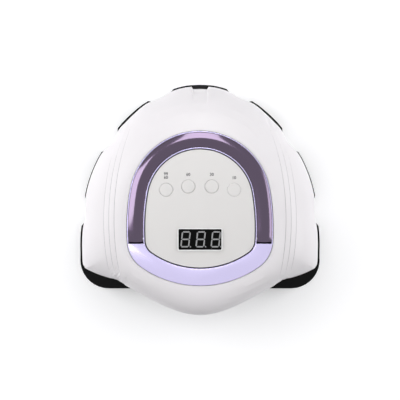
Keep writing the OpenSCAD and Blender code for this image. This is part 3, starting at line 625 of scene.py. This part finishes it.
class LAMP_OT_base(bpy.types.Operator):
    """Gives the base, the mouth frame and the power inlet their black finish"""

    bl_idname = "lamp.base"
    bl_label = "Dress Base"

    def execute(self, context):
        tint = settings().colours.base
        black = surface_material(
            "base black", tint, rough=0.28, gloss_change=0.08, grain=0.03, Specular_IOR_Level=0.08
        )
        dress("base_frame", black)
        dress("opening_frame", black, crease=math.radians(30))
        dress("dc_jack", surface_material("inlet black", tint, rough=0.45, grain=0.08))
        window = surface_material(
            "sensor window", tint, rough=0.08, shade=0.01, grain=0.0, Coat_Weight=0.6
        )
        dress("motion_sensor", window)
        return {"FINISHED"}


class LAMP_OT_ring(bpy.types.Operator):
    """Gives the trim ring its lilac plating, and painted shade on its faces deep in the gaps"""

    bl_idname = "lamp.ring"
    bl_label = "Dress Ring"

    def execute(self, context):
        lamp = settings()
        lilac = surface_material(
            "ring lilac plating",
            lamp.colours.ring,
            rough=0.26,
            shade=0.01,
            grain=0.004,
            Metallic=1.0,
        )
        # Painted shade: a dark colour on the ring's faces that lie deep in its gaps
        dark = surface_material("ring gap", lamp.colours.gap, rough=0.5, grain=0.03)
        dress("trim_ring", lilac, lamp.edges.ring, lamp.edges.steps, accents=((dark, in_ring_gap),))
        return {"FINISHED"}


class LAMP_OT_handle(bpy.types.Operator):
    """Gives the carry handle its mauve mirror plating, and its pins their steel"""

    bl_idname = "lamp.handle"
    bl_label = "Dress Handle"

    def execute(self, context):
        lamp = settings()
        mauve = surface_material(
            "handle mauve plating",
            lamp.colours.handle,
            rough=0.14,
            shade=0.01,
            gloss_change=0.03,
            grain=0.002,
            Metallic=1.0,
            Coat_Weight=1.0,
            Coat_Roughness=0.08,
        )
        dress("carry_handle", mauve, crease=math.radians(35))
        steel = surface_material("pin steel", lamp.colours.steel, grain=0.05, Metallic=1.0)
        dress("hinge_pins", steel, lamp.edges.small)
        return {"FINISHED"}


class LAMP_OT_panel(bpy.types.Operator):
    """Gives the control panel and its buttons their satin finish, and the rim round the display a
    painted highlight
    """

    bl_idname = "lamp.panel"
    bl_label = "Dress Panel"

    def execute(self, context):
        lamp = settings()
        satin = surface_material(
            "panel satin", lamp.colours.panel, rough=0.32, shade=0.015, grain=0.012, Coat_Weight=0.1
        )
        # Painted highlight: the rim round the display gets a whiter colour than the rest of the panel
        bezel_highlight = surface_material(
            "bezel white", lamp.colours.bezel_highlight, rough=0.18, shade=0.01, grain=0.006
        )
        gap = surface_material("panel gap", lamp.colours.panel_gap, rough=0.5)
        dress("control_panel", satin, accents=((gap, on_side), (bezel_highlight, on_bezel)))
        for name in sorted(name for name in NODES if name.startswith("button_")):
            dress(name, satin, lamp.edges.button, lamp.edges.steps, accents=((gap, on_side),))
        return {"FINISHED"}


class LAMP_OT_display(bpy.types.Operator):
    """Gives the display its dark face and grey segments"""

    bl_idname = "lamp.display"
    bl_label = "Dress Display"

    def execute(self, context):
        lamp = settings()
        face = surface_material(
            "display dark",
            lamp.colours.display,
            rough=0.14,
            shade=0.01,
            grain=0.0,
            Specular_IOR_Level=0.06,
        )
        dress("display_module", face, lamp.edges.small)
        grey = surface_material(
            "segment grey", lamp.colours.segments, rough=0.5, shade=0.1, flow=300
        )
        dress("display_segments", grey)
        return {"FINISHED"}


class LAMP_OT_numbers(bpy.types.Operator):
    """Prints a plain number over each button, laid on the panel's crown"""

    bl_idname = "lamp.numbers"
    bl_label = "Print Numbers"

    def execute(self, context):
        numbers = settings().numbers
        ink = surface_material("number ink", settings().colours.numbers, rough=0.5, grain=0.05)
        panel = welded("control_panel")
        surface = BVHTree.FromBMesh(panel)
        panel.free()
        for index, text in enumerate(numbers.seconds.split(), 1):
            name = f"number_{index}"
            low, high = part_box(f"button_{index}")
            away = numbers.gap + text.count("/") * LINE_LIFT * numbers.height
            middle = Vector([(a + b) / 2 for a, b in zip(low, high)]) + PANEL_BACK * away
            mesh = print_mesh(name, text, numbers, middle)
            lay_on(surface, mesh, middle)
            add_piece(name, mesh, [ink], "housing")
        return {"FINISHED"}


class LAMP_OT_reflector(bpy.types.Operator):
    """Gives the reflector its metallized finish"""

    bl_idname = "lamp.reflector"
    bl_label = "Dress Reflector"

    def execute(self, context):
        silver = surface_material(
            "reflector silver",
            settings().colours.reflector,
            rough=0.16,
            gloss_change=0.06,
            grain=0.01,
            Metallic=1.0,
        )
        dress("reflector", silver)
        return {"FINISHED"}


class LAMP_OT_lights(bpy.types.Operator):
    """Gives the light boards their white lacquer and the lights their clear lenses"""

    bl_idname = "lamp.lights"
    bl_label = "Dress Lights"

    def execute(self, context):
        colours = settings().colours
        white = board_material("light board", colours.light_board, colours.copper, 120)
        for name in ("top_led_board", "side_led_boards", "back_led_boards"):
            dress(name, white)
        lens = surface_material(
            "clear lens", colours.lens, rough=0.05, grain=0.004, Transmission_Weight=0.8, IOR=1.5
        )
        for name in ("top_leds", "side_leds", "back_leds"):
            dress(name, lens)
        return {"FINISHED"}


class LAMP_OT_electrics(bpy.types.Operator):
    """Finishes the circuit boards, switches, power parts and screws"""

    bl_idname = "lamp.electrics"
    bl_label = "Dress Electrics"

    def execute(self, context):
        lamp = settings()
        green = board_material("circuit board", lamp.colours.circuit_board, lamp.colours.copper, 260)
        for name in ("control_board", "power_board"):
            dress(name, green)
        black = surface_material("part black", lamp.colours.base, rough=0.4, grain=0.06)
        for name in ("tact_switches", "power_parts"):
            dress(name, black, lamp.edges.small)
        steel = surface_material(
            "screw steel", lamp.colours.steel, rough=0.28, grain=0.05, Metallic=1.0
        )
        for name in ("board_screws", "shell_screws"):
            dress(name, steel)
        return {"FINISHED"}


class LAMP_OT_underside(bpy.types.Operator):
    """Finishes the tray with its discs, the magnets and the rubber feet"""

    bl_idname = "lamp.underside"
    bl_label = "Dress Underside"

    def execute(self, context):
        lamp = settings()
        silver = surface_material(
            "tray silver", lamp.colours.tray, rough=0.38, gloss_change=0.08, grain=0.04, Metallic=0.7
        )
        dress("bottom_tray", silver, lamp.edges.small)
        steel = surface_material("magnet steel", lamp.colours.steel, rough=0.22, Metallic=1.0)
        for name in ("magnets", "tray_discs"):
            dress(name, steel)
        rubber = surface_material(
            "foot rubber", lamp.colours.rubber, rough=0.8, grain=0.2, Specular_IOR_Level=0.3
        )
        dress("rubber_feet", rubber, lamp.edges.small)
        return {"FINISHED"}


# Operator: the stage


def area_light(name, power, size, place, mirrored):
    """A soft rectangular light that faces the lamp.

    A mirrored one is only seen in the gloss, and its power is that of a square metre.
    """
    light = bpy.data.lights.new(name, "AREA")
    light.shape = "RECTANGLE"
    light.size, light.size_y = size
    light.energy = power * size[0] * size[1] if mirrored else power
    lamp = bpy.data.objects.new(name, light)
    lamp.location = place
    lamp.rotation_euler = (LIGHT_TARGET - Vector(place)).to_track_quat("-Z", "Y").to_euler()
    lamp.visible_glossy = mirrored
    lamp.visible_diffuse = not mirrored
    bpy.context.scene.collection.objects.link(lamp)


def seen_or_mirrored(tree):
    """An output that is 1 for camera, glossy and transmission rays, and 0 for the light on the lamp."""
    rays = node(tree, "LightPath").outputs
    seen = compute(tree, "MAXIMUM", rays["Is Camera Ray"], rays["Is Glossy Ray"])
    return compute(tree, "MAXIMUM", seen, rays["Is Transmission Ray"])


def set_floor(stage):
    """A pale floor that keeps the lamp's shadow and is clear from below, where the underside is seen."""
    material = surface_material("pale floor", stage.floor, rough=0.7, shade=0.0, grain=0.0)
    tree = material.node_tree
    shader = tree.nodes["Principled BSDF"]
    lift = compute(tree, "MULTIPLY", seen_or_mirrored(tree), FLOOR_LIFT)
    set_values(tree, shader, Emission_Color=WHITE, Emission_Strength=lift)
    below = node(tree, "NewGeometry").outputs["Backfacing"]
    clear = node(tree, "BsdfTransparent").outputs["BSDF"]
    either = node(tree, "MixShader", below, shader.outputs["BSDF"], clear)
    feed(tree, tree.nodes["Material Output"].inputs["Surface"], either.outputs["Shader"])
    mesh = bmesh.new()
    bmesh.ops.create_grid(mesh, x_segments=1, y_segments=1, size=FLOOR_REACH)
    add_object("floor", mesh, [material])


def set_surroundings(stage):
    """Surroundings that are white where they are seen, and dimmer as the light on the lamp."""
    world = bpy.data.worlds.new("pale surroundings")
    bpy.context.scene.world = world
    world.use_nodes = True
    tree = world.node_tree
    level = node(tree, "MapRange", Value=seen_or_mirrored(tree), To_Min=stage.sky, To_Max=1)
    set_values(tree, tree.nodes["Background"], Color=WHITE, Strength=level.outputs["Result"])


def set_camera(stage):
    """A camera over the lamp that looks straight down, as in the photo."""
    view = bpy.data.cameras.new("camera")
    view.lens = stage.lens
    view.sensor_width = FILM_WIDTH
    camera = bpy.data.objects.new("camera", view)
    camera.location = (0, stage.camera_y, stage.camera_height)
    camera.rotation_euler = (0, 0, stage.roll)
    bpy.context.scene.collection.objects.link(camera)
    bpy.context.scene.camera = camera


class LAMP_OT_stage(bpy.types.Operator):
    """Sets the pale floor, soft light, surroundings and camera"""

    bl_idname = "lamp.stage"
    bl_label = "Set Stage"

    def execute(self, context):
        stage = settings().stage
        set_floor(stage)
        set_surroundings(stage)
        for name, (power, size, place, mirrored) in LIGHTS.items():
            area_light(name, getattr(stage, power), size, place, mirrored)
        set_camera(stage)
        context.scene.view_settings.view_transform = "Standard"
        return {"FINISHED"}


OPERATORS = (
    LAMP_OT_shell,
    LAMP_OT_base,
    LAMP_OT_ring,
    LAMP_OT_handle,
    LAMP_OT_panel,
    LAMP_OT_display,
    LAMP_OT_numbers,
    LAMP_OT_reflector,
    LAMP_OT_lights,
    LAMP_OT_electrics,
    LAMP_OT_underside,
    LAMP_OT_stage,
)


# Panel


class LAMP_PT_sidebar(bpy.types.Panel):
    """Lists the lamp's settings and operators"""

    bl_idname = "LAMP_PT_sidebar"
    bl_label = "Nail Lamp"
    bl_space_type = "VIEW_3D"
    bl_region_type = "UI"
    bl_category = "Lamp"

    def draw(self, context):
        lamp = context.scene.lamp
        for title, group in (
            ("Colours", lamp.colours),
            ("Edges", lamp.edges),
            ("Numbers", lamp.numbers),
            ("Stage", lamp.stage),
        ):
            box = self.layout.box()
            box.label(text=title)
            for name in group.bl_rna.properties.keys():
                if name not in {"rna_type", "name"}:
                    box.prop(group, name)
        for operator in OPERATORS:
            self.layout.operator(operator.bl_idname)


CLASSES = (
    LampColours,
    LampEdges,
    LampNumbers,
    LampStage,
    LampSettings,
    *OPERATORS,
    LAMP_PT_sidebar,
)


def register():
    for made in CLASSES:
        bpy.utils.register_class(made)
    bpy.types.Scene.lamp = PointerProperty(type=LampSettings)


def unregister():
    del bpy.types.Scene.lamp
    for made in reversed(CLASSES):
        bpy.utils.unregister_class(made)


def main():
    register()
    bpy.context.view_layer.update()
    for operator in OPERATORS:
        group, name = operator.bl_idname.split(".")
        getattr(getattr(bpy.ops, group), name)()


if __name__ == "__main__":
    main()
